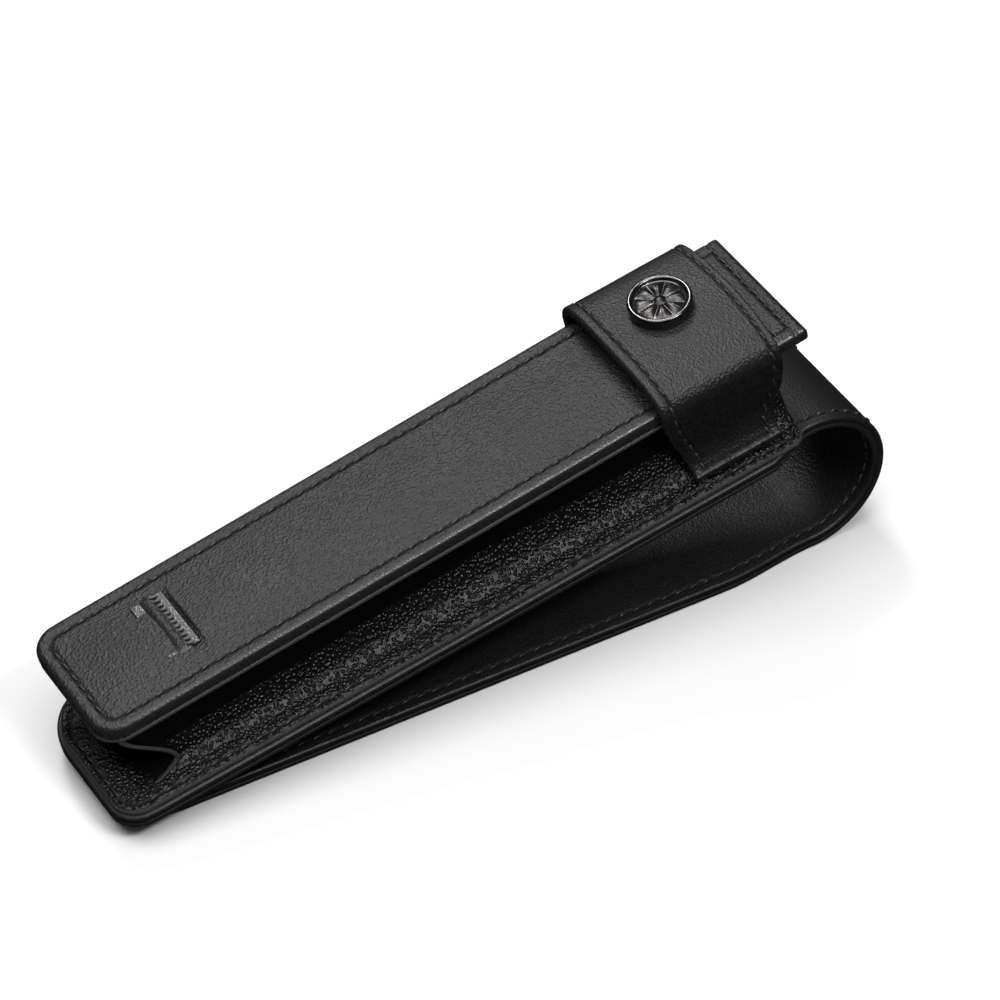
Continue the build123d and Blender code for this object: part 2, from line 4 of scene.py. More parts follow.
import bmesh
import bpy
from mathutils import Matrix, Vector


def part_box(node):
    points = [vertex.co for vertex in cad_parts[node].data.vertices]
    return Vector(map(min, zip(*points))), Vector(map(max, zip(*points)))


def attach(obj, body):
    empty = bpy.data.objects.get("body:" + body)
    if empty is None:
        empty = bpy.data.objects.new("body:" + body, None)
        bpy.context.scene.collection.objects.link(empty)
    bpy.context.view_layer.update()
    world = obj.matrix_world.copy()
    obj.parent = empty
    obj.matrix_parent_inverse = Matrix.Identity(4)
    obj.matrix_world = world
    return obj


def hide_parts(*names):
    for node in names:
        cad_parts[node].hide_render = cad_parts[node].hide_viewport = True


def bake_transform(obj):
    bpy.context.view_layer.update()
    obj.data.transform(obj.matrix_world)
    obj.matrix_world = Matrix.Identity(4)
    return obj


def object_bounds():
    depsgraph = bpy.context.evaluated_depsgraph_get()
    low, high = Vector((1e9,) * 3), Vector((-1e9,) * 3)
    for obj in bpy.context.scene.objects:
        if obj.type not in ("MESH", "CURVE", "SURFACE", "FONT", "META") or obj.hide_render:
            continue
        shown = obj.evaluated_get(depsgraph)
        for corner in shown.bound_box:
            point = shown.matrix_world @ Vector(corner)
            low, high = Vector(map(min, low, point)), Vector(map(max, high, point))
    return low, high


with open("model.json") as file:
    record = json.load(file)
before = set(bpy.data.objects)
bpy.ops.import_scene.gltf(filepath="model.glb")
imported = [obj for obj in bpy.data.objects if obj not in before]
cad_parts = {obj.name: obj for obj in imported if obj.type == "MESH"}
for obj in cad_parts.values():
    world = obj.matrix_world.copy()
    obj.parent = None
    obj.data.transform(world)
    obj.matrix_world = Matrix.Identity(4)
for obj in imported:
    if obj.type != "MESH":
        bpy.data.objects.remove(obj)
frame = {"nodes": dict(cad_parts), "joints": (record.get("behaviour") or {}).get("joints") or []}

for leftover in ("Cube", "Light", "Camera"):
    if leftover in bpy.data.objects:
        bpy.data.objects.remove(bpy.data.objects[leftover])
cad_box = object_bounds()
MM = 0.001

# ---------- the long strip: back panel, loop and flap ----------
# One long piece of pebbled leather with a smooth lining glued to it, skived and folded over a board at
# both ends. It is the back of the pouch, curls over in a loop past the mouth and lies flat under the
# pouch as the flap. Its cut edges are dyed and burnished.
TILT = radians(10)
ALONG = Vector((cos(TILT), 0, sin(TILT)))
UP = Vector((-sin(TILT), 0, cos(TILT)))
LEATHER = 1.25 * MM
STRIP = 2 * LEATHER
LOOP_TURN = radians(190)
BEND = LOOP_TURN / 4

back_low, back_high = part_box("back_leather")
strip_y = (back_low.y + back_high.y) / 2
pouch_origin = Vector((back_low.x + LEATHER * sin(TILT), strip_y, back_low.z))
hinges = [Vector(joint["pos_m"]) for joint in frame["joints"]]
loop_radius = (hinges[0] - hinges[3]).length / (2 * sin(1.5 * BEND))
first_hinge = BEND / 2 - TILT
loop_centre = hinges[0] - loop_radius * Vector((sin(first_hinge), 0, cos(first_hinge)))
loop_inner = loop_radius - LEATHER
back_length = (loop_centre - pouch_origin).dot(ALONG)
loop_length = loop_radius * LOOP_TURN
flap_tip = back_length + loop_length + loop_centre.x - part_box("flap_leather")[0].x


def strip_at(s, v, w):
    """A point of the strip: s along it from the closed end, v across it, w deep from its leather side."""
    if s <= back_length:
        return pouch_origin + ALONG * s + Vector((0, v, 0)) + UP * w
    turn = (s - back_length) / loop_radius
    if turn < LOOP_TURN:
        angle, reach = turn - TILT, loop_inner + w
        return loop_centre + Vector((reach * sin(angle), v, reach * cos(angle)))
    past = s - back_length - loop_length
    return loop_centre + Vector((-past, v, -loop_inner - w))


def eased(x):
    x = min(max(x, 0), 1)
    return x * x * (3 - 2 * x)


BACK_HALF = (back_high.y - back_low.y) / 2
LOOP_HALF = (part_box("bend_leather_2")[1].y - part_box("bend_leather_2")[0].y) / 2
FLAP_HALF = (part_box("flap_leather")[1].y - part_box("flap_leather")[0].y) / 2
FLAP_TIP_HALF = 13.8 * MM
BACK_NARROWING = 9 * MM
FLAP_WIDENING = 20 * MM


def strip_half(s):
    """Half of the strip's width."""
    if s < back_length + loop_length / 2:
        narrowed = eased((s - back_length + BACK_NARROWING) / BACK_NARROWING)
        return BACK_HALF + (LOOP_HALF - BACK_HALF) * narrowed
    past = s - back_length - loop_length
    taper = past / (flap_tip - back_length - loop_length)
    wide = FLAP_HALF + (FLAP_TIP_HALF - FLAP_HALF) * max(0, taper)
    return LOOP_HALF + (wide - LOOP_HALF) * eased(past / FLAP_WIDENING)


def steps(start, end, step):
    count = max(1, round((end - start) / step))
    return [start + (end - start) * k / count for k in range(count + 1)]


def edge_steps(limit):
    """Distances in from an edge: close together on its rounding, wider apart further in."""
    fine = [0.045 * k * k * MM for k in range(5)]
    return [d for d in fine + [(0.95 + 0.28 * k) * MM for k in range(14)] if d < limit]


def made_piece(name, mesh):
    """Turns a finished working mesh into a piece of the scene."""
    data = bpy.data.meshes.new(name)
    mesh.to_mesh(data)
    mesh.free()
    piece = bpy.data.objects.new(name, data)
    bpy.context.scene.collection.objects.link(piece)
    return piece


def shell(name, outer, inner, from_edge=None, keep=None, zone=None, seams=(False, False)):
    """A closed skin between two equal grids of points, with walls along every free edge.

    from_edge is each grid point's distance in from the outline, kept on the mesh for the materials.
    keep drops the quads it turns down, zone picks each quad's material slot, and seams says whether the
    first and last row are cut square, where the next piece carries on."""
    rows, columns = len(outer), len(outer[0])
    mesh = bmesh.new()
    distance = mesh.verts.layers.float.new("from_edge")
    high = [[mesh.verts.new(p) for p in row] for row in outer]
    low = [[mesh.verts.new(p) for p in row] for row in inner]
    for grid in (high, low):
        for i in range(rows):
            for j in range(columns):
                grid[i][j][distance] = from_edge[i][j] / MM if from_edge else 9.0
    kept = {(i, j) for i in range(rows - 1) for j in range(columns - 1) if keep is None or keep(i, j)}
    for i, j in kept:
        corners = [(i, j), (i + 1, j), (i + 1, j + 1), (i, j + 1)]
        index = zone(i, j) if zone else 0
        mesh.faces.new([high[a][b] for a, b in corners]).material_index = index
        mesh.faces.new([low[a][b] for a, b in reversed(corners)]).material_index = index
        beside = [(i, j - 1), (i + 1, j), (i, j + 1), (i - 1, j)]
        for k, neighbour in enumerate(beside):
            if neighbour not in kept:
                (a, b), (c, d) = corners[k], corners[(k + 1) % 4]
                wall = mesh.faces.new([high[c][d], high[a][b], low[a][b], low[c][d]])
                wall.material_index = index
    for loose in [v for v in mesh.verts if not v.link_faces]:
        mesh.verts.remove(loose)
    bmesh.ops.recalc_face_normals(mesh, faces=mesh.faces)
    for face in mesh.faces:
        face.smooth = True
    for cut, index in zip(seams, (0, -1)):
        square = set(high[index] + low[index]) if cut else ()
        for edge in mesh.edges:
            if edge.verts[0] in square and edge.verts[1] in square:
                edge.smooth = False
    return made_piece(name, mesh)


def sheet(name, place, start, end, half, top, low, corners=(0, 0, 0, 0), closed=(True, True),
          step=3 * MM, keep=None, extra=()):
    """A sheet of leather from start to end, as wide as half says, its faces at the heights top and low.

    top and low take the distance in from the outline. corners are the radii at start, -v and +v, and at
    end, -v and +v. closed says which ends are the sheet's own, and extra adds stations."""
    first = edge_steps(8 * MM) if closed[0] else [0]
    last = edge_steps(8 * MM) if closed[1] else [0]
    between = steps(start + first[-1], end - last[-1], step)
    along = sorted({start + d for d in first} | {end - d for d in last} | set(between) | set(extra))
    reach = edge_steps(half((start + end) / 2) * 0.6)

    def cut(gap, radius):
        return radius - sqrt(max(0, radius ** 2 - (radius - gap) ** 2)) if gap < radius else 0

    def inset(u, v):
        before = u - start if closed[0] else 1
        after = end - u if closed[1] else 1
        gaps = []
        for lengthwise, side, radius in (
            (before, v + half(u), corners[0]), (before, half(u) - v, corners[1]),
            (after, v + half(u), corners[2]), (after, half(u) - v, corners[3]),
        ):
            if lengthwise < radius and side < radius:
                gaps.append(radius - hypot(radius - lengthwise, radius - side))
            else:
                gaps.append(min(lengthwise, side))
        return max(0, min(gaps))

    outer, inner, from_edge, places = [], [], [], []
    for u in along:
        near = -half(u) + max(cut(u - start, corners[0]), cut(end - u, corners[2]))
        far = half(u) - max(cut(u - start, corners[1]), cut(end - u, corners[3]))
        middle = steps(near + reach[-1], far - reach[-1], (far - near - 2 * reach[-1]) / 10)
        across = [near + d for d in reach] + middle[1:-1] + [far - d for d in reversed(reach)]
        gaps = [inset(u, v) for v in across]
        outer.append([place(u, v, top(d, u, v)) for v, d in zip(across, gaps)])
        inner.append([place(u, v, low(d, u, v)) for v, d in zip(across, gaps)])
        from_edge.append(gaps)
        places.append([(u, v) for v in across])
    kept = (lambda i, j: keep(*places[i][j], *places[i + 1][j + 1])) if keep else None
    return shell(name, outer, inner, from_edge, kept, seams=(not closed[0], not closed[1]))


def rounding(d, radius):
    """How far a rounded edge falls away at distance d in from it."""
    x = max(0, 1 - d / radius)
    return radius * (1 - sqrt(max(0, 1 - x * x)))


def dip(d, middle, width, depth):
    x = (d - middle) / width
    return depth * max(0, 1 - x * x) ** 2 if abs(x) < 1 else 0


def group(name, inputs, outputs):
    """An empty shader node group with its sockets; inputs are (name, default)."""
    made = bpy.data.node_groups.new(name, "ShaderNodeTree")
    for socket, value in inputs:
        entry = made.interface.new_socket(socket, in_out="INPUT", socket_type="NodeSocketFloat")
        entry.default_value = value
    for socket in outputs:
        made.interface.new_socket(socket, in_out="OUTPUT", socket_type="NodeSocketFloat")
    return made, made.nodes.new("NodeGroupInput"), made.nodes.new("NodeGroupOutput")


def math_node(tree, kind, a, b=None, c=None):
    made = tree.nodes.new("ShaderNodeMath")
    made.operation = kind
    for index, value in enumerate((a, b, c)):
        if isinstance(value, (int, float)):
            made.inputs[index].default_value = value
        elif value is not None:
            tree.links.new(value, made.inputs[index])
    return made.outputs[0]


def remapped(tree, value, low, high, to_low=0.0, to_high=1.0):
    made = tree.nodes.new("ShaderNodeMapRange")
    for index, number in enumerate((low, high, to_low, to_high), start=1):
        made.inputs[index].default_value = number
    tree.links.new(value, made.inputs[0])
    return made.outputs[0]


def noise(tree, place, scale, detail=3.0, roughness=0.55):
    made = tree.nodes.new("ShaderNodeTexNoise")
    made.inputs["Scale"].default_value = scale
    made.inputs["Detail"].default_value = detail
    made.inputs["Roughness"].default_value = roughness
    tree.links.new(place, made.inputs["Vector"])
    return made.outputs["Fac"]


def grain_group():
    """Leather grain: rounded pebbles between fine creases, uneven from place to place."""
    tree, given, out = group(
        "leather grain", [("Pebbles per mm", 1.6), ("Stretch", 1.0)], ["Height", "Tone", "Cloud"])
    place = tree.nodes.new("ShaderNodeTexCoord").outputs["Object"]
    warp = tree.nodes.new("ShaderNodeTexNoise")
    warp.inputs["Scale"].default_value = 420
    tree.links.new(place, warp.inputs["Vector"])
    push = tree.nodes.new("ShaderNodeVectorMath")
    push.operation = "MULTIPLY_ADD"
    push.inputs[1].default_value = (0.0003, 0.0003, 0.0003)
    tree.links.new(warp.outputs["Color"], push.inputs[0])
    tree.links.new(place, push.inputs[2])
    narrow = tree.nodes.new("ShaderNodeCombineXYZ")
    tree.links.new(given.outputs["Stretch"], narrow.inputs[0])
    narrow.inputs[1].default_value = 1.0
    narrow.inputs[2].default_value = 1.0
    drawn = tree.nodes.new("ShaderNodeVectorMath")
    drawn.operation = "MULTIPLY"
    tree.links.new(push.outputs[0], drawn.inputs[0])
    tree.links.new(narrow.outputs[0], drawn.inputs[1])
    density = math_node(tree, "MULTIPLY", given.outputs["Pebbles per mm"], 1000.0)
    pebbles = tree.nodes.new("ShaderNodeTexVoronoi")
    pebbles.feature = "SMOOTH_F1"
    pebbles.inputs["Smoothness"].default_value = 0.35
    tree.links.new(drawn.outputs[0], pebbles.inputs["Vector"])
    tree.links.new(density, pebbles.inputs["Scale"])
    dome = remapped(tree, pebbles.outputs["Distance"], 0.12, 0.62, 1.0, 0.0)
    pores = noise(tree, place, 5200, 2.0, 0.6)
    swell = noise(tree, place, 260, 2.0, 0.5)
    rough = math_node(tree, "MULTIPLY_ADD", pores, 0.25, dome)
    tree.links.new(math_node(tree, "MULTIPLY_ADD", swell, 0.7, rough), out.inputs["Height"])
    tree.links.new(dome, out.inputs["Tone"])
    tree.links.new(noise(tree, place, 55, 4.0, 0.6), out.inputs["Cloud"])
    return tree


def edge_group():
    """Where a skin's cut edge and its sewn groove run, from the distance kept on its mesh."""
    tree, given, out = group(
        "edge and groove", [("Edge width", 0.4), ("Groove at", 2.9), ("Groove width", 0.5)],
        ["Edge", "Groove"])
    kept = tree.nodes.new("ShaderNodeAttribute")
    kept.attribute_name = "from_edge"
    place = tree.nodes.new("ShaderNodeTexCoord").outputs["Object"]
    frayed = math_node(tree, "MULTIPLY_ADD", noise(tree, place, 900), 0.25, -0.12)
    distance = math_node(tree, "ADD", kept.outputs["Fac"], frayed)
    inside = math_node(tree, "DIVIDE", distance, given.outputs["Edge width"])
    tree.links.new(remapped(tree, inside, 0.5, 1.1, 1.0, 0.0), out.inputs["Edge"])
    past = math_node(tree, "SUBTRACT", kept.outputs["Fac"], given.outputs["Groove at"])
    off = math_node(tree, "ABSOLUTE", past)
    apart = math_node(tree, "DIVIDE", off, given.outputs["Groove width"])
    tree.links.new(remapped(tree, apart, 0.2, 1.0, 1.0, 0.0), out.inputs["Groove"])
    return tree


GRAIN = grain_group()
EDGES = edge_group()


def placed(tree, made, **values):
    node = tree.nodes.new("ShaderNodeGroup")
    node.node_tree = made
    for socket, value in values.items():
        node.inputs[socket.replace("_", " ")].default_value = value
    return node


def mixed(tree, share, a, b):
    """A colour between a and b, each a colour or a socket."""
    made = tree.nodes.new("ShaderNodeMix")
    made.data_type = "RGBA"
    tree.links.new(share, made.inputs[0])
    for index, value in ((6, a), (7, b)):
        if isinstance(value, tuple):
            made.inputs[index].default_value = (*value, 1)
        else:
            tree.links.new(value, made.inputs[index])
    return made.outputs[2]


def leather(name, colour, light, edge, pebbles, depth, gloss, stretch=1.0, groove_at=2.9, edge_width=0.4,
            specular=0.5, groove_width=0.5, edge_gloss=0.36):
    """A dyed leather: colour halved in its creases as painted shade, light on its pebbles as a painted
    highlight, its sewn groove darkened as painted shade, edge where it is cut (on the front panel's turned
    edge a painted highlight), depth in mm.
    """
    material = bpy.data.materials.new(name)
    material.use_nodes = True
    tree = material.node_tree
    surface = tree.nodes["Principled BSDF"]
    grain = placed(tree, GRAIN, Pebbles_per_mm=pebbles, Stretch=stretch)
    lines = placed(tree, EDGES, Edge_width=edge_width, Groove_at=groove_at, Groove_width=groove_width)
    # Painted light: the pebble tops take the light colour as a painted highlight, and the creases take half
    # the colour as painted shade.
    pebble_light_and_crease_shade = mixed(tree, grain.outputs["Tone"], tuple(0.5 * c for c in colour), light)
    clouded = mixed(tree, remapped(tree, grain.outputs["Cloud"], 0.35, 0.7, 0.0, 0.55), pebble_light_and_crease_shade, colour)
    # Painted shade: the sewn groove is darkened to 0.08 of the colour, shade in the recess.
    sewn = mixed(tree, lines.outputs["Groove"], clouded, tuple(0.08 * c for c in colour))
    tree.links.new(mixed(tree, lines.outputs["Edge"], sewn, edge), surface.inputs["Base Color"])
    worn = remapped(tree, grain.outputs["Tone"], 0.0, 1.0, gloss + 0.16, gloss - 0.06)
    lowered = math_node(tree, "SUBTRACT", worn, 0.12)
    patchy = math_node(tree, "MULTIPLY_ADD", grain.outputs["Cloud"], 0.24, lowered)
    in_groove = math_node(tree, "MULTIPLY_ADD", lines.outputs["Groove"], 0.5, patchy)
    rise = math_node(tree, "MULTIPLY_ADD", lines.outputs["Edge"], edge_gloss - gloss, in_groove)
    tree.links.new(rise, surface.inputs["Roughness"])
    calm = math_node(tree, "MULTIPLY_ADD", lines.outputs["Edge"], -0.85, 1.0)
    bump = tree.nodes.new("ShaderNodeBump")
    bump.inputs["Distance"].default_value = depth * MM
    tree.links.new(math_node(tree, "MULTIPLY", grain.outputs["Height"], calm), bump.inputs["Height"])
    tree.links.new(bump.outputs["Normal"], surface.inputs["Normal"])
    surface.inputs["Specular IOR Level"].default_value = specular
    return material


BLACK = (0.0034, 0.0032, 0.0031)
# The second black is the lighter colour painted on the pebble tops, a painted highlight.
BLACK_PAINTED_PEBBLE_LIGHT = (0.0115, 0.0107, 0.0102)
EDGE_DYE = (0.008, 0.0077, 0.0074)
strip_leather = leather("strip pebbled leather", BLACK, BLACK_PAINTED_PEBBLE_LIGHT, EDGE_DYE, 1.9, 0.09, 0.44, groove_at=2.2)
lining_leather = leather(
    "strip lining leather", (0.0035, 0.0033, 0.0031), (0.009, 0.0083, 0.0078), EDGE_DYE, 2.4, 0.05, 0.42,
    groove_at=2.2, groove_width=0.45)

FLAP_STITCH_IN = 2.2 * MM
CUT = 0.45 * MM           # rounding of the burnished edges


def outer_skin(d, s, v):
    """The lining side: faces up in the pocket, outwards on the loop, down under the flap."""
    sewn = dip(d, FLAP_STITCH_IN, 0.6 * MM, 0.18 * MM) if s > back_length else 0
    return STRIP - rounding(d, CUT) - sewn


def glue_line(d, s, v):
    """The glue line between leather and lining, at one depth all over."""
    return LEATHER


def inner_skin(d, s, v):
    sewn = dip(d, FLAP_STITCH_IN, 0.6 * MM, 0.22 * MM) if s > back_length else 0
    return rounding(d, CUT) + sewn


def finished(piece, material, slot, *nodes):
    for one in material if isinstance(material, tuple) else (material,):
        piece.data.materials.append(one)
    if nodes:
        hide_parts(*nodes)
    return piece


BACK_CORNERS = (6 * MM, 13 * MM, 0, 0)
FLAP_CORNERS = (0, 0, 7 * MM, 7 * MM)
LAYERS = {
    "leather": (glue_line, inner_skin, strip_leather, "pebbled_leather"),
    "lining": (outer_skin, glue_line, lining_leather, "smooth_leather"),
}
flap_start = back_length + loop_length


def stretch_of_loop(k):
    """Where the k-th of the loop's four stretches starts and ends along the strip."""
    return back_length + loop_length * k / 4, back_length + loop_length * (k + 1) / 4


def bent_with_loop(piece):
    """Bakes the piece's placement into its mesh; it is neither bent with the loop nor attached to a body."""
    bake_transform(piece)


for layer, (top, low, finish, slot) in LAYERS.items():
    panel = sheet(
        f"back_panel_{layer}", strip_at, 0, back_length, strip_half, top, low, BACK_CORNERS, (True, False))
    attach(finished(panel, finish, slot, f"back_{layer}"), "pouch")
    flap = sheet(
        f"flap_panel_{layer}", strip_at, flap_start, flap_tip, strip_half, top, low, FLAP_CORNERS,
        (False, True))
    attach(finished(flap, finish, slot, f"flap_{layer}"), "flap")
    for k in range(4):
        bend = sheet(
            f"loop_{layer}_{k + 1}", strip_at, *stretch_of_loop(k), strip_half, top, low,
            closed=(False, False), step=0.9 * MM)
        nodes = [f"bend_{layer}_{k + 1}"] if k < 3 else []
        bent_with_loop(finished(bend, finish, slot, *nodes))

# ---------- stitching ----------
# Waxed black thread, about eight stitches to 25 mm. Each stitch is a short rope-like bar that rises out
# of one awl hole and dives into the next, lying slightly across the row.
PITCH = 3.0 * MM
THREAD_RADIUS = 0.28 * MM


def thread_material(name, colour, light, gloss):
    material = bpy.data.materials.new(name)
    material.use_nodes = True
    tree = material.node_tree
    surface = tree.nodes["Principled BSDF"]
    place = tree.nodes.new("ShaderNodeTexCoord").outputs["Object"]
    strands = noise(tree, place, 6500, 2.0, 0.5)
    soil = noise(tree, place, 300, 3.0, 0.6)
    spun = mixed(tree, remapped(tree, strands, 0.35, 0.65), colour, light)
    soiled = mixed(tree, remapped(tree, soil, 0.4, 0.7, 0.0, 0.4), spun, colour)
    tree.links.new(soiled, surface.inputs["Base Color"])
    tree.links.new(remapped(tree, soil, 0.3, 0.7, gloss - 0.08, gloss + 0.1), surface.inputs["Roughness"])
    bump = tree.nodes.new("ShaderNodeBump")
    bump.inputs["Distance"].default_value = 0.06 * MM
    tree.links.new(strands, bump.inputs["Height"])
    tree.links.new(bump.outputs["Normal"], surface.inputs["Normal"])
    return material


black_thread = thread_material("waxed black thread", (0.006, 0.006, 0.006), (0.034, 0.033, 0.032), 0.32)


def row(place, start, end, w, pitch=PITCH):
    """Stitches from start to end, each (u, v): its middle and its three directions, by the surface."""
    run = hypot(end[0] - start[0], end[1] - start[1])
    count = max(1, round(run / pitch))
    found = []
    for k in range(count):
        middle = [start[i] + (end[i] - start[i]) * (k + 0.5) / count for i in (0, 1)]
        ahead = [middle[i] + (end[i] - start[i]) / run * 0.1 * MM for i in (0, 1)]
        at = place(*middle, w)
        forward = (place(*ahead, w) - at).normalized()
        above = (place(*middle, w + 0.1 * MM) - at).normalized()
        found.append((at, forward, above))
    return found


def stitching(name, frames, long=2.25 * MM, radius=THREAD_RADIUS, slant=0.16, lift=0.18 * MM, sides=8):
    """One mesh of separate stitches, each a bar with rounded ends that dip under the leather."""
    mesh = bmesh.new()
    rings = 7
    for at, forward, above in frames:
        aside = above.cross(forward)
        heading = (forward + aside * slant).normalized()
        beside = above.cross(heading)
        loops = []
        for i in range(rings):
            t = -1 + 2 * i / (rings - 1)
            thick = radius * (1 - 0.45 * t ** 4)
            centre = at + heading * (long / 2 * t) + above * (lift * (1 - 2.6 * t ** 4))
            loops.append([
                mesh.verts.new(centre + beside * (thick * cos(a)) + above * (thick * 0.85 * sin(a)))
                for a in (2 * pi * k / sides for k in range(sides))])
        for one, other in zip(loops, loops[1:]):
            for k in range(sides):
                mesh.faces.new([one[k], one[(k + 1) % sides], other[(k + 1) % sides], other[k]])
        mesh.faces.new(list(reversed(loops[0])))
        mesh.faces.new(loops[-1])
    bmesh.ops.recalc_face_normals(mesh, faces=mesh.faces)
    for face in mesh.faces:
        face.smooth = len(face.verts) == 4
    return made_piece(name, mesh)


SUNK = 0.12 * MM          # the thread lies this deep in its groove
flap_rows = []
flap_sewn_to = flap_tip - FLAP_CORNERS[2]
for side in (-1, 1):
    stretch = steps(flap_start, flap_sewn_to, 12 * MM)
    line = [(s, side * (strip_half(s) - FLAP_STITCH_IN)) for s in stretch]
    for a, b in zip(line, line[1:]):
        flap_rows += row(strip_at, a, b, SUNK)
tip_half = FLAP_TIP_HALF - FLAP_CORNERS[2]
tip_row = flap_tip - FLAP_STITCH_IN
flap_rows += row(strip_at, (tip_row, -tip_half), (tip_row, tip_half), SUNK)
flipped = [(at, forward, -above) for at, forward, above in flap_rows]
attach(finished(stitching("flap_thread", flipped), black_thread, "thread", "flap_stitches"), "flap")
for k in range(4):
    start, end = stretch_of_loop(k)
    turned = []
    for side in (-1, 1):
        line = side * (LOOP_HALF - FLAP_STITCH_IN)
        for w, facing in ((SUNK, -1), (STRIP - SUNK, 1))[:1 if k == 3 else 2]:
            turned += [(at, f, a * facing) for at, f, a in row(strip_at, (start, line), (end, line), w)]
    thread = finished(stitching(f"loop_thread_{k + 1}", turned), black_thread, "thread")
    bent_with_loop(thread)

# ---------- front panel ----------
# The top of the pouch: pebbled leather turned over the edge of a board, with a thin lining glued below.
# It is sewn all round, and near its closed end a slit is bound on one side with a small rolled lip.
FRONT_LENGTH = 146.5 * MM
FRONT_START = 3.2 * MM
FRONT_CLOSED_HALF = 14.7 * MM
FRONT_MOUTH_HALF = 15.2 * MM
FRONT_BASE = 14.5 * MM      # its lower face over the back panel's, at the closed end
FRONT_RISE = 5.0 / 146.5
FRONT_CORNERS = (5.5 * MM, 5.5 * MM, 0.7 * MM, 0.7 * MM)
FRONT_STITCH_IN = 2.9 * MM
ROW_SHORT = 8 * MM        # the long rows stop this far short of the mouth
front_lean = (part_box("front_leather")[0].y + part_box("front_leather")[1].y) / 2 - strip_y


def front_at(u, v, w):
    """A point of the front panel: u from its closed end, v across it, w over its lower face."""
    slope = sqrt(1 + FRONT_RISE ** 2)
    s = FRONT_START + (u - w * FRONT_RISE) / slope
    height = FRONT_BASE + (u * FRONT_RISE + w) / slope
    return pouch_origin + ALONG * s + UP * height + Vector((0, v + front_lean, 0))


def front_half(u):
    return FRONT_CLOSED_HALF + (FRONT_MOUTH_HALF - FRONT_CLOSED_HALF) * u / FRONT_LENGTH


SLIT_AT = 23.4 * MM
SLIT_HALF = 7.9 * MM
SLIT_OFFSET = 1.0 * MM
MOUTH_ROWS = (2.4 * MM, 5.4 * MM)


def slit_dip(u, v):
    """The slit is a narrow valley that closes towards its ends."""
    along = max(0, 1 - ((v - SLIT_OFFSET) / SLIT_HALF) ** 2)
    run = (u - SLIT_AT) / (0.7 * MM if u < SLIT_AT else 2.1 * MM)
    return 1.0 * MM * sqrt(along) * max(0, 1 - run ** 2)


def front_top(d, u, v):
    from_mouth = FRONT_LENGTH - u
    sewn = dip(d, FRONT_STITCH_IN, 0.7 * MM, 0.3 * MM)
    if from_mouth < ROW_SHORT:
        side = d if d < from_mouth - 0.01 * MM else 9 * MM
        sewn = max([dip(side, FRONT_STITCH_IN, 0.7 * MM, 0.3 * MM)] +
                   [dip(from_mouth, at, 0.6 * MM, 0.22 * MM) for at in MOUTH_ROWS])
    puff = 0.16 * MM * sin(pi * min(d, FRONT_STITCH_IN) / FRONT_STITCH_IN)
    swell = 0.5 * MM * eased((d - 2.9 * MM) / (11 * MM))
    return STRIP - rounding(d, 0.9 * MM) + puff + swell - sewn - slit_dip(u, v)


def front_tuck(d, u, v):
    """The turned edge rolls under and is pulled in against the lining."""
    return rounding(d, 0.55 * MM) + 0.06 * MM


# Its lighter edge colour over the first millimetre of the turned edge is a painted highlight.
front_leather = leather(
    "front pebbled leather", BLACK, BLACK_PAINTED_PEBBLE_LIGHT, (0.012, 0.0115, 0.011), 1.9, 0.1, 0.4, stretch=0.8,
    edge_width=1.0, groove_width=0.42, edge_gloss=0.22)
slit_stations = steps(SLIT_AT - 1.6 * MM, SLIT_AT + 2.8 * MM, 0.22 * MM)
front_skin = sheet("front_panel", front_at, 0, FRONT_LENGTH, front_half, front_top,
                   lambda d, u, v: front_tuck(d, u, v) + LEATHER * 0.35 * eased((d - 3 * MM) / MM),
                   FRONT_CORNERS, step=2.5 * MM, extra=slit_stations)
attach(finished(front_skin, front_leather, "pebbled_leather", "front_leather"), "pouch")


LINING_INSET = 1.2 * MM


def lining_half(u):
    return front_half(u) - LINING_INSET


pocket_cloth = leather(
    "pocket lining cloth", (0.008, 0.008, 0.0085), (0.018, 0.018, 0.019), (0.015, 0.015, 0.015), 5.0, 0.02,
    0.85, specular=0.2)
front_under = sheet("front_lining_sheet", front_at, LINING_INSET, FRONT_LENGTH - LINING_INSET, lining_half,
                    lambda d, u, v: 0.42 * MM, lambda d, u, v: rounding(d, 0.2 * MM) - 0.02 * MM,
                    (4 * MM, 4 * MM, 0.5 * MM, 0.5 * MM))
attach(finished(front_under, pocket_cloth, "pocket_lining", "front_lining"), "pouch")

front_rows = []
for side in (-1, 1):
    v_closed, v_mouth = (side * (half - FRONT_STITCH_IN) for half in (FRONT_CLOSED_HALF, FRONT_MOUTH_HALF))
    front_rows += row(
        front_at, (FRONT_CORNERS[0], v_closed), (FRONT_LENGTH - ROW_SHORT, v_mouth), STRIP - 0.16 * MM)
end_half = FRONT_CLOSED_HALF - FRONT_CORNERS[0]
front_rows += row(front_at, (FRONT_STITCH_IN, -end_half), (FRONT_STITCH_IN, end_half), STRIP - 0.16 * MM)
front_thread = finished(stitching("front_thread", front_rows), black_thread, "thread", "front_stitches")
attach(front_thread, "pouch")
mouth_rows = []
for at in MOUTH_ROWS:
    span = FRONT_MOUTH_HALF - 2.2 * MM
    u = FRONT_LENGTH - at
    mouth_rows += row(front_at, (u, -span), (u, span), STRIP - 0.08 * MM, 2.7 * MM)
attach(finished(stitching("mouth_thread", mouth_rows), black_thread, "thread", "mouth_stitches"), "pouch")

WELT_AT = 21.3 * MM
WELT_HALF = 7.8 * MM
WELT_WIDE = 1.3 * MM


def welt_at(u, v, w):
    return front_at(WELT_AT + u, SLIT_OFFSET + v, STRIP + w)


def welt_width(u):
    return WELT_HALF


def lip(d, u, v):
    """A low rolled lip, fullest on its slit side and fading out at both ends."""
    ends = max(0, 1 - (v / WELT_HALF) ** 4)
    across = max(0, 1 - (u / WELT_WIDE) ** 2)
    return 0.3 * MM + 0.42 * MM * ends * across


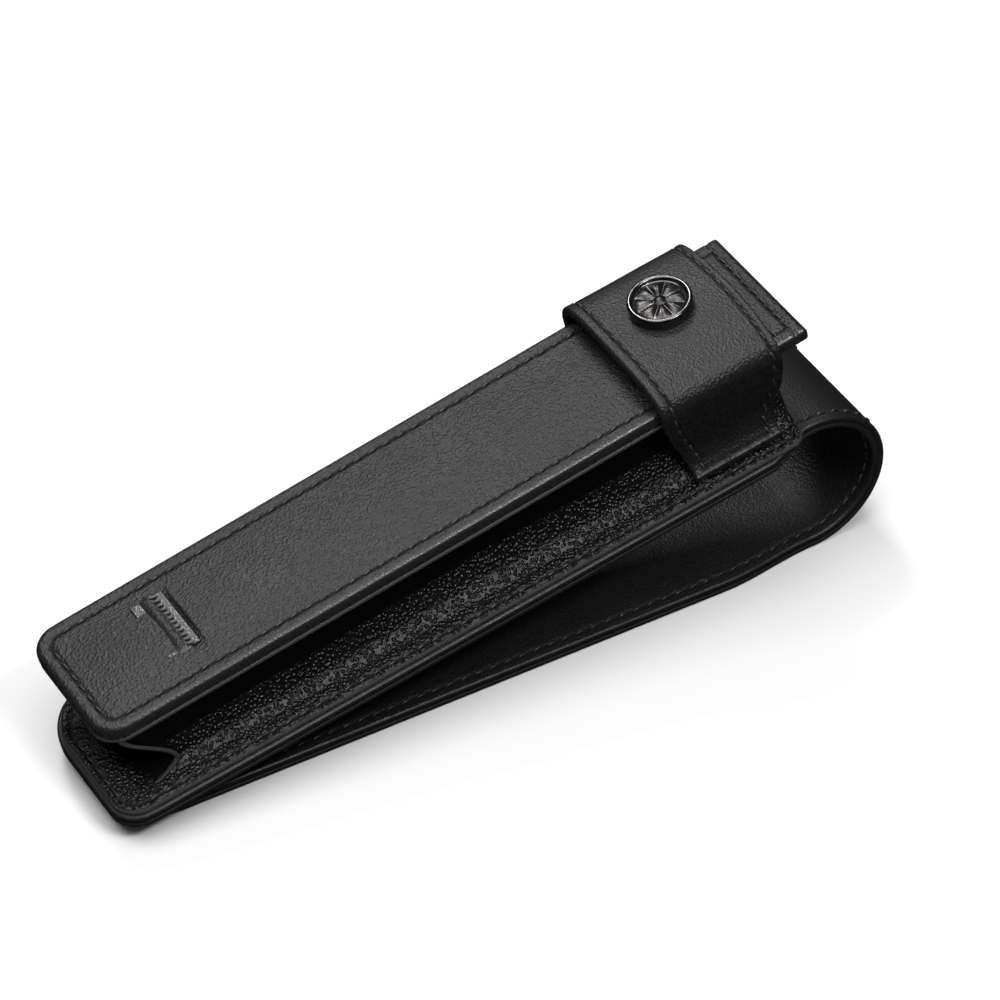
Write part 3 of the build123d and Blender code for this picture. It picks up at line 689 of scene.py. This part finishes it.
welt = sheet("slit_lip", welt_at, -WELT_WIDE, WELT_WIDE, welt_width, lip, lambda d, u, v: -0.15 * MM,
             (0.6 * MM,) * 4)
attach(finished(welt, front_leather, "pebbled_leather", "slit_welt"), "pouch")
grey_thread = thread_material("whipped thread", (0.03, 0.03, 0.03), (0.16, 0.155, 0.15), 0.3)
whips = []
for k in range(12):
    v = SLIT_OFFSET + 2 * SLIT_HALF * ((k + 0.5) / 12 - 0.5) * 0.93
    whips += row(front_at, (SLIT_AT - 1.5 * MM, v + 0.2 * MM), (SLIT_AT + 0.1 * MM, v - 0.2 * MM),
                 STRIP + 0.35 * MM, 9 * MM)
whip = stitching("slit_thread", whips, long=1.8 * MM, radius=0.3 * MM, slant=0, lift=0.2 * MM)
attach(finished(whip, grey_thread, "thread", "slit_stitches"), "pouch")

# ---------- gusset ----------
# Glossy grained leather, folded out into a flange along both panels and sewn down, so that the pouch can
# swell round the pen. At the closed end it is pinched inwards. Its cut edges stay raw and show light.
GUSSET = 0.9 * MM
WALL_FOOT = 11.0 * MM       # the wall's outer face from the strip's middle, at its foot
WALL_TOP = 13.3 * MM        # and from the front panel's middle, at its top
WALL_PINCH = 1.6 * MM
FLANGE_IN = 0.8 * MM
FLANGE_TOP = STRIP + GUSSET
GUSSET_START = FRONT_START + 2.6 * MM
GUSSET_END = FRONT_START + FRONT_LENGTH - 6.6 * MM
FOLD_DEPTH = 8.6 * MM
FOLD_SHARE = 0.14           # height of the fold's valley, as a share of the wall


def wall_top(s):
    return FRONT_BASE + (s - FRONT_START) * FRONT_RISE - GUSSET * 0.3


def wall_at(s, side, share, inwards):
    """A point of a side wall: share is its height from foot to top, inwards how deep in it lies."""
    swell = WALL_PINCH * eased((s - GUSSET_START) / (60 * MM))
    draw = swell * sin(pi * min(1, share * 1.05)) ** 1.2
    flare = 2.2 * MM * max(0, 1 - share / 0.17) ** 2
    reach = WALL_FOOT + (WALL_TOP - WALL_FOOT) * share - draw + flare - inwards
    low = FLANGE_TOP - GUSSET * 0.4
    height = low + (wall_top(s) - low) * share
    return pouch_origin + ALONG * s + UP * height + Vector((0, side * reach + front_lean * share, 0))


def fold_line(share):
    """How far the closed end is folded in at this height."""
    if share < FOLD_SHARE:
        return FOLD_DEPTH * sin(pi / 2 * share / FOLD_SHARE) ** 0.8
    return FOLD_DEPTH * (1 - eased((share - FOLD_SHARE) / (1 - FOLD_SHARE)) ** 0.9)


def wall_grid(side, inwards, end, shares, stations=60):
    rows = []
    for k in range(stations + 1):
        row_points = []
        for share in shares:
            first = GUSSET_START + fold_line(share)
            s = first + (end - first) * k / stations
            wave = 0.35 * MM * sin(s / (9 * MM) + side) * sin(pi * share)
            row_points.append(wall_at(s, side, share, inwards + wave))
        rows.append(row_points)
    return rows


RAW_EDGE = (0.04, 0.038, 0.036)
gusset_foot = leather(
    "gusset grained leather", (0.0025, 0.0025, 0.0025), (0.008, 0.008, 0.008), RAW_EDGE, 1.5, 0.26, 0.24,
    groove_at=1.7, groove_width=0.4, edge_width=0.45)
# Painted shade: a darker, duller copy of the gusset leather with little specular, for the upper walls and the
# folded end in the front panel's shade.
gusset_painted_shade = leather(
    "gusset wall painted shade leather", (0.0015, 0.0015, 0.0015), (0.003, 0.003, 0.003), RAW_EDGE, 1.5, 0.1, 0.5,
    groove_at=20.0, edge_width=0.45, specular=0.08)
shares = [k / 36 for k in range(37)]
PAINTED_SHADE_FROM = 16             # rows of the wall's height over this lie in the panel's shade and take the painted-shade leather
for side, sides_name in ((-1, "near"), (1, "far")):
    outer = wall_grid(side, 0, GUSSET_END, shares)
    inner = wall_grid(side, GUSSET, GUSSET_END, shares)
    ends = [[(9 if 0 < k < 60 else 0.3) * MM for share in shares] for k in range(61)]
    wall = shell(
        f"gusset_wall_{sides_name}", outer, inner, ends, zone=lambda i, j: 1 if j > PAINTED_SHADE_FROM else 0)
    finished(wall, (gusset_foot, gusset_painted_shade), "gusset_leather", "gusset_leather")
    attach(wall, "pouch")
    backing = shell(
        f"pocket_side_{sides_name}", wall_grid(side, GUSSET + 0.12 * MM, GUSSET_END - 0.6 * MM, shares),
        wall_grid(side, GUSSET + 0.5 * MM, GUSSET_END - 0.6 * MM, shares))
    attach(finished(backing, pocket_cloth, "pocket_lining", "gusset_lining"), "pouch")


FLANGE_STRAIGHT = 12 * MM   # the flange doesn't follow the strip's waist over its last stretch


def flange_half(s):
    return strip_half(min(s, GUSSET_END - FLANGE_STRAIGHT)) - FLANGE_IN


def flange_top(d, s, v):
    bead = 0.28 * MM * max(0, 1 - ((d - 0.75 * MM) / (0.75 * MM)) ** 2)
    return FLANGE_TOP - rounding(d, 0.5 * MM) + bead - dip(d, 1.7 * MM, 0.45 * MM, 0.3 * MM)


def outside_pocket(s_low, v_low, s_high, v_high):
    """The flange stops a little inside the wall's foot."""
    middle = (abs(v_low) + abs(v_high)) / 2
    return s_low < GUSSET_START + 0.5 * MM or middle > WALL_FOOT - 0.9 * MM


flange = sheet(
    "gusset_flange", strip_at, FLANGE_IN, GUSSET_END, flange_half, flange_top,
    lambda d, s, v: STRIP + 0.02 * MM,
    (5.2 * MM, 12.2 * MM, 3 * MM, 3 * MM), keep=outside_pocket)
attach(finished(flange, gusset_foot, "gusset_leather"), "pouch")


def top_flange_half(u):
    return front_half(u) - 0.05 * MM


TOP_FLANGE_WIDTH = 3.2 * MM   # of its stretch at the closed end


def under_edge(u_low, v_low, u_high, v_high):
    """The top flange is a frame under the front panel's edge, open in the middle."""
    return u_low < TOP_FLANGE_WIDTH or (abs(v_low) + abs(v_high)) / 2 > WALL_TOP - MM


top_flange = sheet(
    "gusset_top_flange", front_at, 0.05 * MM, FRONT_LENGTH - 6.6 * MM, top_flange_half,
    lambda d, u, v: -0.06 * MM - rounding(d, 0.25 * MM), lambda d, u, v: -GUSSET + rounding(d, 0.3 * MM),
    (5.5 * MM, 5.5 * MM, 1 * MM, 1 * MM),
    keep=under_edge)
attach(finished(top_flange, gusset_foot, "gusset_leather"), "pouch")

end_outer, end_inner, end_edge = [], [], []
OVERLAP = 0.3 * MM          # the folded end's raw sides stand proud of the walls
for share in shares:
    s = GUSSET_START + fold_line(share)
    near, far = wall_at(s, -1, share, -OVERLAP), wall_at(s, 1, share, -OVERLAP)
    fractions = [(1 - cos(pi * k / 20)) / 2 for k in range(21)]
    end_outer.append([near.lerp(far, f) for f in fractions])
    end_inner.append([near.lerp(far, f) + ALONG * 0.95 * MM for f in fractions])
    end_edge.append([min(f, 1 - f) * (far - near).length for f in fractions])
folded_end = shell("gusset_folded_end", end_outer, end_inner, end_edge)
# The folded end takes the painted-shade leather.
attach(finished(folded_end, gusset_painted_shade, "gusset_leather"), "pouch")

flange_rows = []
FLANGE_STITCH_IN = FLANGE_IN + 1.7 * MM
flange_thread_at = FLANGE_TOP - 0.2 * MM
for side, corner in zip((-1, 1), BACK_CORNERS):
    line = side * (BACK_HALF - FLANGE_STITCH_IN)
    flange_rows += row(strip_at, (corner, line), (GUSSET_END - 4 * MM, line), flange_thread_at)
flange_rows += row(
    strip_at, (FLANGE_STITCH_IN, BACK_CORNERS[0] - BACK_HALF), (FLANGE_STITCH_IN, BACK_HALF - BACK_CORNERS[1]),
    flange_thread_at)
flange_thread = finished(stitching("gusset_thread", flange_rows), black_thread, "thread", "gusset_stitches")
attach(flange_thread, "pouch")

# ---------- keeper strap ----------
# A fixed band of soft smooth leather, lined, sewn down at both feet on the gusset's flange. The flap is
# pushed under it to close the case. It stands off the front panel and is softly arched.
KEEPER_START = FRONT_START + 114.3 * MM
KEEPER_LONG = 25.5 * MM
KEEPER_FOOT_LONG = 18.5 * MM
KEEPER_LEATHER = 0.9 * MM
KEEPER_LINING = 0.7 * MM
KEEPER_GAP = 2.3 * MM
KEEPER_CROWN = 1.1 * MM
KEEPER_SIDE = FRONT_MOUTH_HALF + 0.4 * MM
keeper_middle = KEEPER_START + KEEPER_LONG / 2
strap_low = FRONT_BASE + (keeper_middle - FRONT_START) * FRONT_RISE + STRIP + KEEPER_GAP


def strap_path():
    """The strap's inner line as (v, height) points, from the near foot over the top to the far foot."""
    foot = FLANGE_TOP + 0.15 * MM
    halves = []
    for side in (-1, 1):
        halves.append([
            (side * (WALL_FOOT + 2.9 * MM), foot), (side * (WALL_FOOT + 1.2 * MM), foot + 0.6 * MM),
            (side * (WALL_FOOT + 0.5 * MM) + front_lean * 0.2, foot + 3 * MM),
            (side * (WALL_FOOT + 1.1 * MM) + front_lean * 0.5, foot + 7 * MM),
            (side * (KEEPER_SIDE - 0.3 * MM) + front_lean, strap_low - 8.3 * MM),
            (side * KEEPER_SIDE + front_lean, strap_low - 4.6 * MM),
            (side * KEEPER_SIDE + front_lean, strap_low - 2.6 * MM),
            (side * (KEEPER_SIDE - 0.7 * MM) + front_lean, strap_low - 1.0 * MM),
            (side * (KEEPER_SIDE - 2.6 * MM) + front_lean, strap_low + 0.15 * MM),
            (side * (KEEPER_SIDE - 6.5 * MM) + front_lean, strap_low + 0.8 * KEEPER_CROWN),
        ])
    return halves[0] + [(front_lean, strap_low + KEEPER_CROWN)] + halves[1][::-1]


def smooth_line(points, per_stretch=6):
    """A soft curve through the points."""
    found = []
    for k in range(len(points) - 1):
        a, b = points[max(k - 1, 0)], points[k]
        c, d = points[k + 1], points[min(k + 2, len(points) - 1)]
        for step in range(per_stretch):
            t = step / per_stretch
            found.append(tuple(
                0.5 * (2 * b[i] + (c[i] - a[i]) * t + (2 * a[i] - 5 * b[i] + 4 * c[i] - d[i]) * t ** 2
                       + (3 * b[i] - a[i] - 3 * c[i] + d[i]) * t ** 3) for i in (0, 1)))
    return found + [points[-1]]


strap_line = smooth_line(strap_path())


def strap_lengths(line):
    total, found = 0, [0]
    for (a, b), (c, d) in zip(line, line[1:]):
        total += hypot(c - a, d - b)
        found.append(total)
    return found


strap_run = strap_lengths(strap_line)
FOOT_RUN = 15 * MM          # over this length the strap widens from its foot to its full width


def strap_span(k):
    """From where to where the strap reaches along the pouch, at point k of its line."""
    into = min(strap_run[k], strap_run[-1] - strap_run[k])
    spare = (KEEPER_LONG - KEEPER_FOOT_LONG) / 2 * (1 - eased((into - 3 * MM) / FOOT_RUN))
    over = eased((into - FOOT_RUN) / (8 * MM))
    middle = sin(pi * strap_run[k] / strap_run[-1]) ** 6
    return KEEPER_START + spare - 0.3 * MM * over, KEEPER_START + KEEPER_LONG - spare + 0.9 * MM * middle


def strap_grid(off):
    """Points across the strap for each point of its line, off outwards from its inner line."""
    rows, distances = [], []
    for k, (v, height) in enumerate(strap_line):
        before, after = strap_line[max(k - 1, 0)], strap_line[min(k + 1, len(strap_line) - 1)]
        along, rise = after[0] - before[0], after[1] - before[1]
        size = hypot(along, rise)
        outwards = (-rise / size, along / size)
        start, end = strap_span(k)
        edge = edge_steps(5.2 * MM)
        across = [start + d for d in edge] + steps(start + edge[-1], end - edge[-1], 1.6 * MM)[1:-1]
        across += [end - d for d in reversed(edge)]
        tip = min(strap_run[k], strap_run[-1] - strap_run[k])
        line, gaps = [], []
        for s in across:
            d = min(s - start, end - s, tip + 0.05 * MM)
            level = off(d, s)
            wave = sin(2 * pi * (s - start) / (end - start))
            sag = 0.45 * MM * wave * sin(pi * strap_run[k] / strap_run[-1]) ** 4
            line.append(pouch_origin + ALONG * s + UP * (height + outwards[1] * level - 0.25 * sag)
                        + Vector((0, v + outwards[0] * level, 0)))
            gaps.append(d)
        rows.append(line)
        distances.append(gaps)
    return rows, distances


STRAP_STITCH_IN = 2.3 * MM


def strap_outside(d, s):
    full = KEEPER_LINING + KEEPER_LEATHER
    puff = 0.12 * MM * sin(pi * min(d, STRAP_STITCH_IN) / STRAP_STITCH_IN)
    return full - rounding(d, 0.45 * MM) + puff - dip(d, STRAP_STITCH_IN, 0.55 * MM, 0.2 * MM)


nappa = leather(
    "keeper nappa", (0.0055, 0.0046, 0.004), (0.0135, 0.0112, 0.0098), (0.012, 0.0105, 0.0095), 1.8, 0.075,
    0.4, groove_at=2.3, groove_width=0.45, edge_width=0.5, edge_gloss=0.25)
strap_outer, strap_gaps = strap_grid(strap_outside)
strap_middle, _ = strap_grid(lambda d, s: KEEPER_LINING)
strap_inner, _ = strap_grid(lambda d, s: rounding(d, 0.25 * MM))
keeper = shell("keeper_band", strap_outer, strap_middle, strap_gaps)
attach(finished(keeper, nappa, "strap_leather", "keeper_strap"), "pouch")
keeper_back = shell("keeper_band_lining", strap_middle, strap_inner, strap_gaps)
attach(finished(keeper_back, lining_leather, "smooth_leather", "keeper_lining"), "pouch")

strap_sewn = []
for closed_end_side in (True, False):
    travelled = PITCH / 2
    for k in range(1, len(strap_line) - 1):
        if strap_run[k] < travelled or not 2.5 * MM < strap_run[k] < strap_run[-1] - 2.5 * MM:
            continue
        travelled = strap_run[k] + PITCH * 0.86
        low, high = strap_span(k)
        s = low + STRAP_STITCH_IN if closed_end_side else high - STRAP_STITCH_IN
        (va, ha), (vb, hb) = strap_line[k - 1], strap_line[k + 1]
        size = hypot(vb - va, hb - ha)
        outwards = Vector((0, -(hb - ha) / size, 0)) + UP * ((vb - va) / size)
        forward = Vector((0, (vb - va) / size, 0)) + UP * ((hb - ha) / size)
        v, height = strap_line[k]
        off = strap_outside(3.6 * MM, s) - 0.17 * MM
        at = pouch_origin + ALONG * s + UP * height + Vector((0, v, 0)) + outwards * off
        strap_sewn.append((at, forward, outwards))
keeper_thread = stitching("keeper_thread", strap_sewn)
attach(finished(keeper_thread, black_thread, "thread", "keeper_stitches"), "pouch")

# ---------- medallion ----------
# A turned cap of black nickel with a raised rim and a sunk field, which carries a plain eight-petalled
# rosette. A brass rivet holds it through the strap, with a washer below.
cap_low, cap_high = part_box("medallion_cap")
CAP_RADIUS = (cap_high.y - cap_low.y) / 2
CAP_HIGH = 2.2 * MM
cap_base = (cap_low + cap_high) / 2 - UP * (CAP_HIGH / 2)


def turned(name, profile, centre, sides=72):
    """A piece turned on the pouch's upright axis; profile is (radius, height) from its middle outwards."""
    mesh = bmesh.new()
    rings = []
    for radius, height in profile:
        if radius == 0:
            rings.append([mesh.verts.new(centre + UP * height)])
            continue
        rings.append([
            mesh.verts.new(centre + UP * height + ALONG * radius * cos(a) + Vector((0, radius * sin(a), 0)))
            for a in (2 * pi * k / sides for k in range(sides))])
    for one, other in zip(rings, rings[1:]):
        for k in range(sides):
            a, b = one[k % len(one)], one[(k + 1) % len(one)]
            c, d = other[(k + 1) % len(other)], other[k % len(other)]
            mesh.faces.new(list(dict.fromkeys((a, b, c, d))))
    bmesh.ops.recalc_face_normals(mesh, faces=mesh.faces)
    for face in mesh.faces:
        face.smooth = True
    return made_piece(name, mesh)


def metal(name, colour, dark, gloss, scratch):
    material = bpy.data.materials.new(name)
    material.use_nodes = True
    tree = material.node_tree
    surface = tree.nodes["Principled BSDF"]
    surface.inputs["Metallic"].default_value = 1.0
    place = tree.nodes.new("ShaderNodeTexCoord").outputs["Object"]
    stretched = tree.nodes.new("ShaderNodeVectorMath")
    stretched.operation = "MULTIPLY"
    stretched.inputs[1].default_value = (1.0, 9.0, 1.0)
    tree.links.new(place, stretched.inputs[0])
    scratches = noise(tree, stretched.outputs[0], 2600, 4.0, 0.65)
    tarnish = noise(tree, place, 700, 4.0, 0.6)
    tarnished = mixed(tree, remapped(tree, tarnish, 0.35, 0.7), colour, dark)
    tree.links.new(tarnished, surface.inputs["Base Color"])
    smudged = math_node(tree, "MULTIPLY_ADD", scratches, 0.14, gloss - 0.06)
    tree.links.new(math_node(tree, "MULTIPLY_ADD", tarnish, 0.12, smudged), surface.inputs["Roughness"])
    bump = tree.nodes.new("ShaderNodeBump")
    bump.inputs["Distance"].default_value = scratch * MM
    tree.links.new(scratches, bump.inputs["Height"])
    tree.links.new(bump.outputs["Normal"], surface.inputs["Normal"])
    return material


black_nickel = metal("black nickel", (0.15, 0.145, 0.142), (0.06, 0.058, 0.058), 0.1, 0.004)
relief_nickel = metal("rubbed black nickel", (0.1, 0.096, 0.093), (0.035, 0.034, 0.034), 0.17, 0.008)
RIM = 0.95 * MM
FIELD = CAP_HIGH - 0.7 * MM
ROLL = 0.45 * MM            # height of the rim's rounded top
cap_profile = [
    (0, 0), (CAP_RADIUS - 0.25 * MM, 0), (CAP_RADIUS - 0.05 * MM, 0.1 * MM), (CAP_RADIUS, 0.35 * MM),
    (CAP_RADIUS, CAP_HIGH - 0.55 * MM)]
for k in range(9):
    angle = pi * k / 8
    cap_profile.append((CAP_RADIUS - RIM / 2 + RIM / 2 * cos(angle), CAP_HIGH - ROLL + ROLL * sin(angle)))
cap_profile += [
    (CAP_RADIUS - RIM - 0.02 * MM, FIELD + 0.12 * MM), (CAP_RADIUS - RIM - 0.15 * MM, FIELD), (0, FIELD)]
cap = turned("medallion_rim", cap_profile, cap_base)
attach(finished(cap, black_nickel, "gunmetal", "medallion_cap"), "pouch")

PETALS = 8
ROSETTE_RADIUS = CAP_RADIUS - RIM - 0.35 * MM


def relief(radius, angle):
    """Height of the rosette over the sunk field: petals round a small boss."""
    share = radius / ROSETTE_RADIUS
    boss = 0.5 * MM * sqrt(max(0, 1 - (share / 0.24) ** 2))
    across = abs(sin(PETALS / 2 * angle)) ** 0.75
    length = max(0, sin(pi * min(1, max(0, (share - 0.2) / 0.78)))) ** 0.6
    vein = 1 - 0.3 * max(0, 1 - abs(cos(PETALS / 2 * angle)) * 9)
    return max(boss, 0.42 * MM * across * length * vein)


sides, rings = 160, 30
top_rows, low_rows = [], []
for i in range(rings + 1):
    radius = ROSETTE_RADIUS * max(i, 0.02) / rings
    circle = [2 * pi * k / sides for k in range(sides + 1)]
    spot = [cap_base + ALONG * radius * cos(a) + Vector((0, radius * sin(a), 0)) for a in circle]
    top_rows.append([p + UP * (FIELD + 0.03 * MM + relief(radius, a)) for p, a in zip(spot, circle)])
    low_rows.append([p + UP * (FIELD - 0.05 * MM) for p in spot])
rosette = shell("medallion_relief", top_rows, low_rows)
weld = rosette.modifiers.new("weld", "WELD")
weld.merge_threshold = 0.002 * MM
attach(finished(rosette, relief_nickel, "gunmetal_relief", "medallion_rosette"), "pouch")
brass = metal("plain brass", (0.42, 0.30, 0.13), (0.22, 0.14, 0.06), 0.35, 0.01)
for node in ("rivet_post", "rivet_washer"):
    frame["nodes"][node].data.materials.clear()
    frame["nodes"][node].data.materials.append(brass)

# ---------- stiffening boards ----------
# Pressed fibre board glued between leather and lining of each panel. Closed in all round, it only shows
# if the case is taken apart.
fibre_board = leather(
    "pressed fibre board", (0.17, 0.13, 0.09), (0.27, 0.22, 0.16), (0.2, 0.16, 0.12), 2.4, 0.02, 0.85,
    specular=0.2)
for node in ("back_board", "flap_board", "front_board"):
    frame["nodes"][node].data.materials.clear()
    frame["nodes"][node].data.materials.append(fibre_board)

# ---------- floor, light and camera ----------
# A plain pale floor under soft studio light: a broad bank over the case, one behind it that gives the
# front panel its sheen, and one on the near side that picks out the edges and the gusset's grain.
floor_mesh = bmesh.new()
bmesh.ops.create_grid(floor_mesh, x_segments=4, y_segments=4, size=1.6)
floor = made_piece("floor", floor_mesh)
floor.location.z = cad_box[0].z
paper = bpy.data.materials.new("pale paper")
paper.use_nodes = True
paper_tree = paper.node_tree
paper_place = paper_tree.nodes.new("ShaderNodeTexCoord").outputs["Object"]
paper_fibre = noise(paper_tree, paper_place, 40, 4.0)
paper_tone = mixed(paper_tree, paper_fibre, (0.86, 0.86, 0.855), (0.9, 0.9, 0.895))
paper_surface = paper_tree.nodes["Principled BSDF"]
paper_tree.links.new(paper_tone, paper_surface.inputs["Base Color"])
paper_surface.inputs["Roughness"].default_value = 0.9
paper_surface.inputs["Specular IOR Level"].default_value = 0.0
floor.data.materials.append(paper)
floor.visible_glossy = False       # keeps the black sides from mirroring the floor

world = bpy.data.worlds.new("studio")
world.use_nodes = True
sky = world.node_tree
sky_place = sky.nodes.new("ShaderNodeTexCoord").outputs["Generated"]
sky_height = sky.nodes.new("ShaderNodeSeparateXYZ")
sky.links.new(sky_place, sky_height.inputs[0])
sky_share = remapped(sky, sky_height.outputs["Z"], 0.1, 0.95)
sky_tone = mixed(sky, sky_share, (0.012, 0.012, 0.0125), (0.16, 0.16, 0.163))
sky.links.new(sky_tone, sky.nodes["Background"].inputs["Color"])
bpy.context.scene.world = world
bpy.context.scene.view_settings.view_transform = "Standard"


def light_bank(name, place, target, size, power):
    lamp = bpy.data.lights.new(name, "AREA")
    lamp.shape = "RECTANGLE"
    lamp.size, lamp.size_y = size
    lamp.energy = power
    bank = bpy.data.objects.new(name, lamp)
    bank.location = place
    bank.rotation_euler = (Vector(target) - Vector(place)).to_track_quat("-Z", "Y").to_euler()
    bpy.context.scene.collection.objects.link(bank)


light_bank("overhead bank", (-0.2, 0, 0.95), (0, 0, 0), (1.0, 0.8), 8.0)
light_bank("rear bank", (0.1, 0.58, 0.72), (0.02, 0, 0.03), (0.26, 0.2), 3.2)
light_bank("near bank", (0.16, -0.5, 0.76), (0, 0, 0.02), (0.34, 0.14), 3.6)

VIEW_AZIMUTH = radians(-31.05)
VIEW_HEIGHT = radians(42.3)
VIEW_DISTANCE = 0.9
view_aim = Vector((pouch_origin.x + 88.5 * MM, strip_y + front_lean, 23.5 * MM))
level = cos(VIEW_HEIGHT)
towards = Vector((sin(VIEW_AZIMUTH) * level, -cos(VIEW_AZIMUTH) * level, sin(VIEW_HEIGHT)))
lens = bpy.data.cameras.new("camera")
lens.sensor_width = 36
lens.lens = 180.4
camera = bpy.data.objects.new("camera", lens)
camera.location = view_aim + towards * VIEW_DISTANCE
camera.rotation_euler = (-towards).to_track_quat("-Z", "Y").to_euler()
bpy.context.scene.collection.objects.link(camera)
bpy.context.scene.camera = camera
